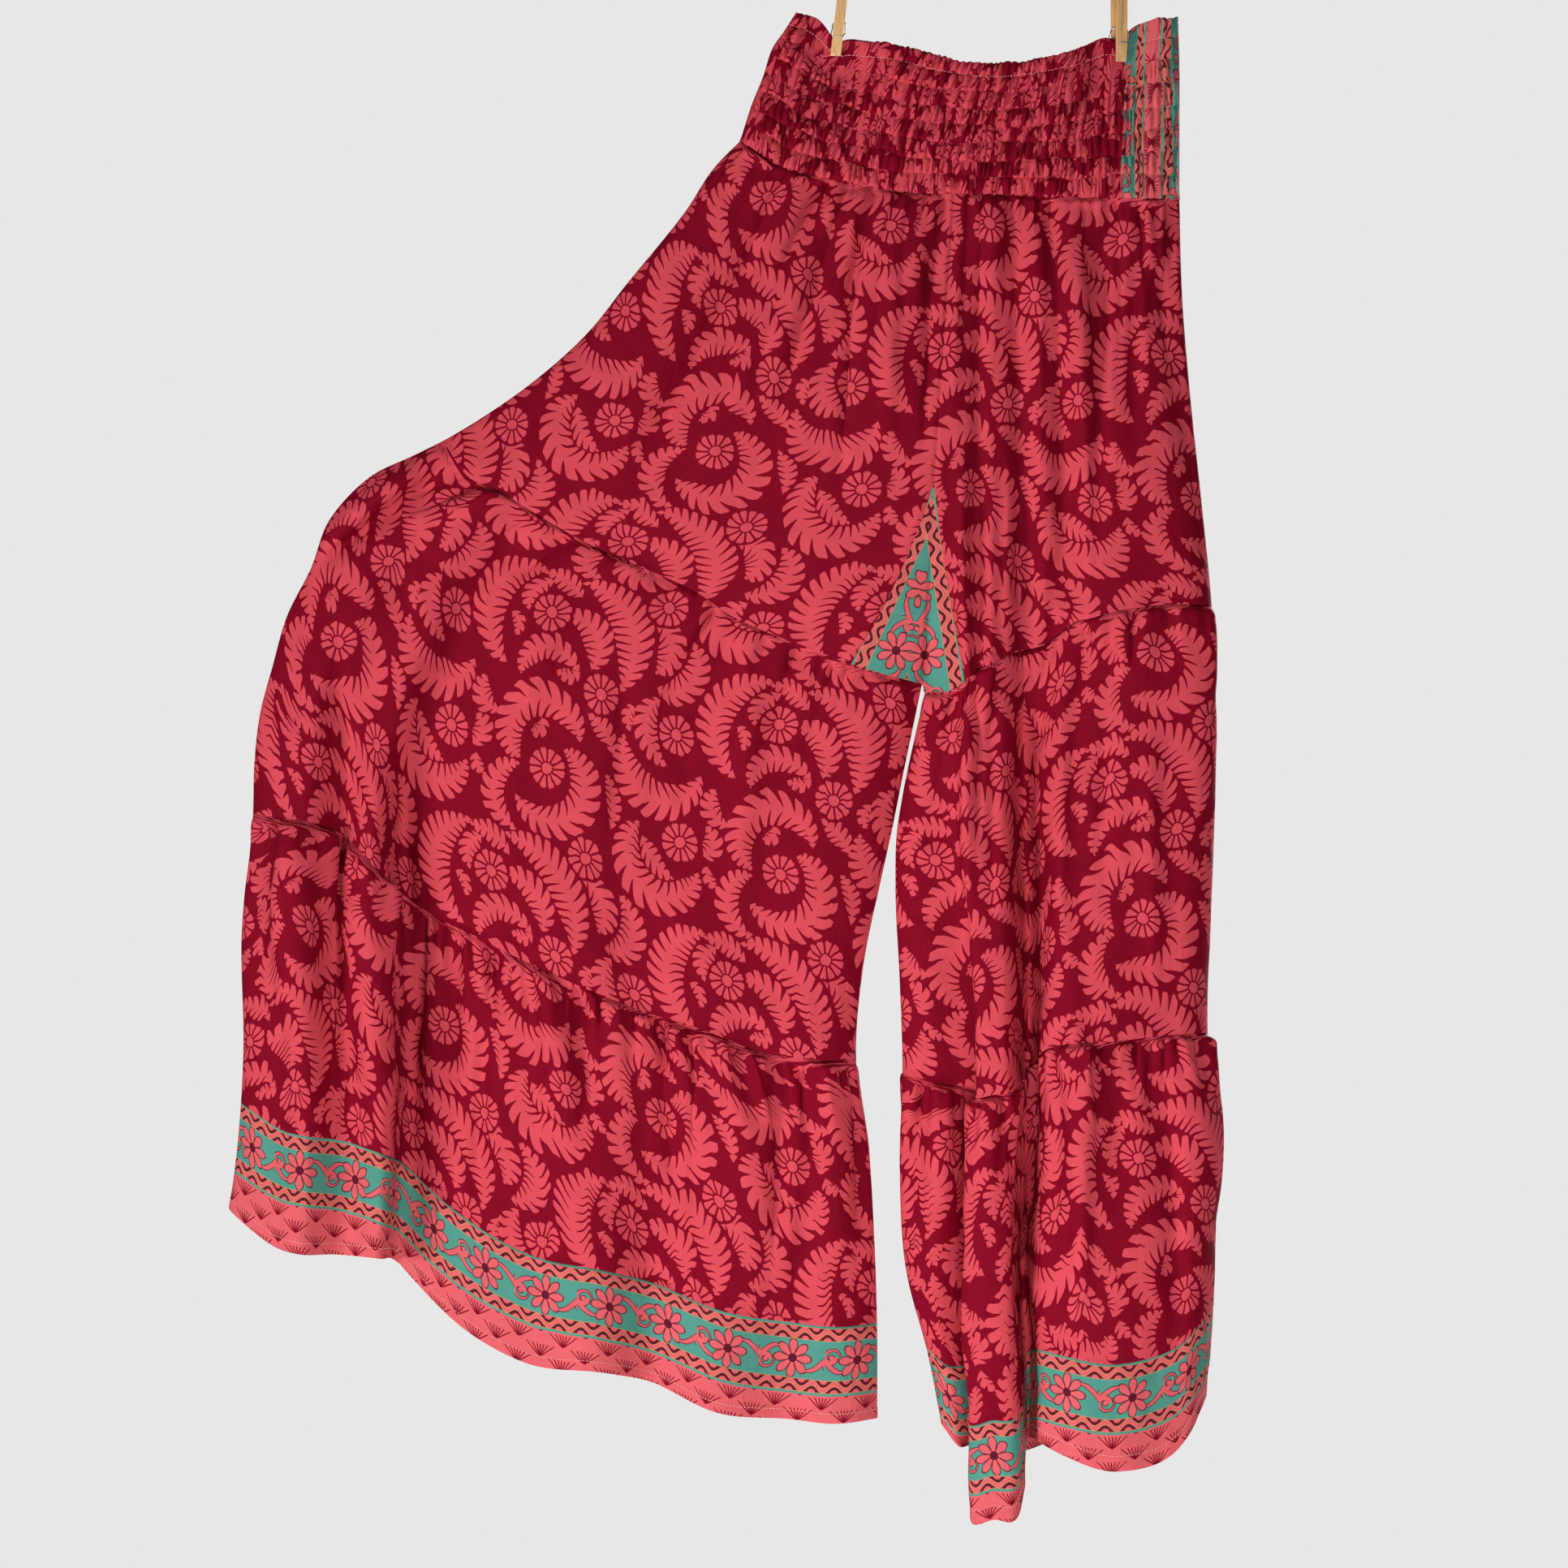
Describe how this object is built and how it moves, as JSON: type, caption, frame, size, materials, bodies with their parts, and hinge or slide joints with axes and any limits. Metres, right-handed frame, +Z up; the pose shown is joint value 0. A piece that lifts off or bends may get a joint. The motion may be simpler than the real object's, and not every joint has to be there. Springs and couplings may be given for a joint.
{
  "type": "tiered palazzo pants hung from two clothes pegs",
  "caption": "Wide tiered palazzo pants with a smocked waistband, a crotch gusset and bordered hems, hung from clothes pegs with one leg spread out like a fan.",
  "frame": {"origin": "midway between the two clothes pegs, level with the spring arms that press their jaws together on the waistband", "axes": "+Z up, +X to the right as the front is seen, +Y from the front towards the back"},
  "size_m": [0.7054, 0.0899, 1.0895],
  "materials": {
    "printed_cloth": "soft crepe printed with light fronds and daisies on a dark ground",
    "border_cloth": "soft crepe printed with a floral border between two narrow vine stripes",
    "peg_wood": "plain sanded wood",
    "spring_steel": "drawn wire"
  },
  "bodies": {
    "root": {"waistband_front": "printed_cloth", "waistband_back": "printed_cloth", "spread_leg_tier_1_front": "printed_cloth", "spread_leg_tier_2_front": "printed_cloth", "spread_leg_tier_3_front": "printed_cloth", "spread_leg_tier_1_back": "printed_cloth", "spread_leg_tier_2_back": "printed_cloth", "spread_leg_tier_3_back": "printed_cloth", "hanging_leg_tier_1_front": "printed_cloth", "hanging_leg_tier_2_front": "printed_cloth", "hanging_leg_tier_3_front": "printed_cloth", "hanging_leg_tier_1_back": "printed_cloth", "hanging_leg_tier_2_back": "printed_cloth", "hanging_leg_tier_3_back": "printed_cloth", "waistband_side": "border_cloth", "gusset_front": "border_cloth", "gusset_back": "border_cloth", "spread_leg_border_front": "border_cloth", "spread_leg_border_back": "border_cloth", "hanging_leg_border_front": "border_cloth", "hanging_leg_border_back": "border_cloth", "left_peg_front": "peg_wood", "left_peg_back": "peg_wood", "right_peg_front": "peg_wood", "right_peg_back": "peg_wood", "left_peg_spring": "spring_steel", "right_peg_spring": "spring_steel"}
  },
  "joints": []
}
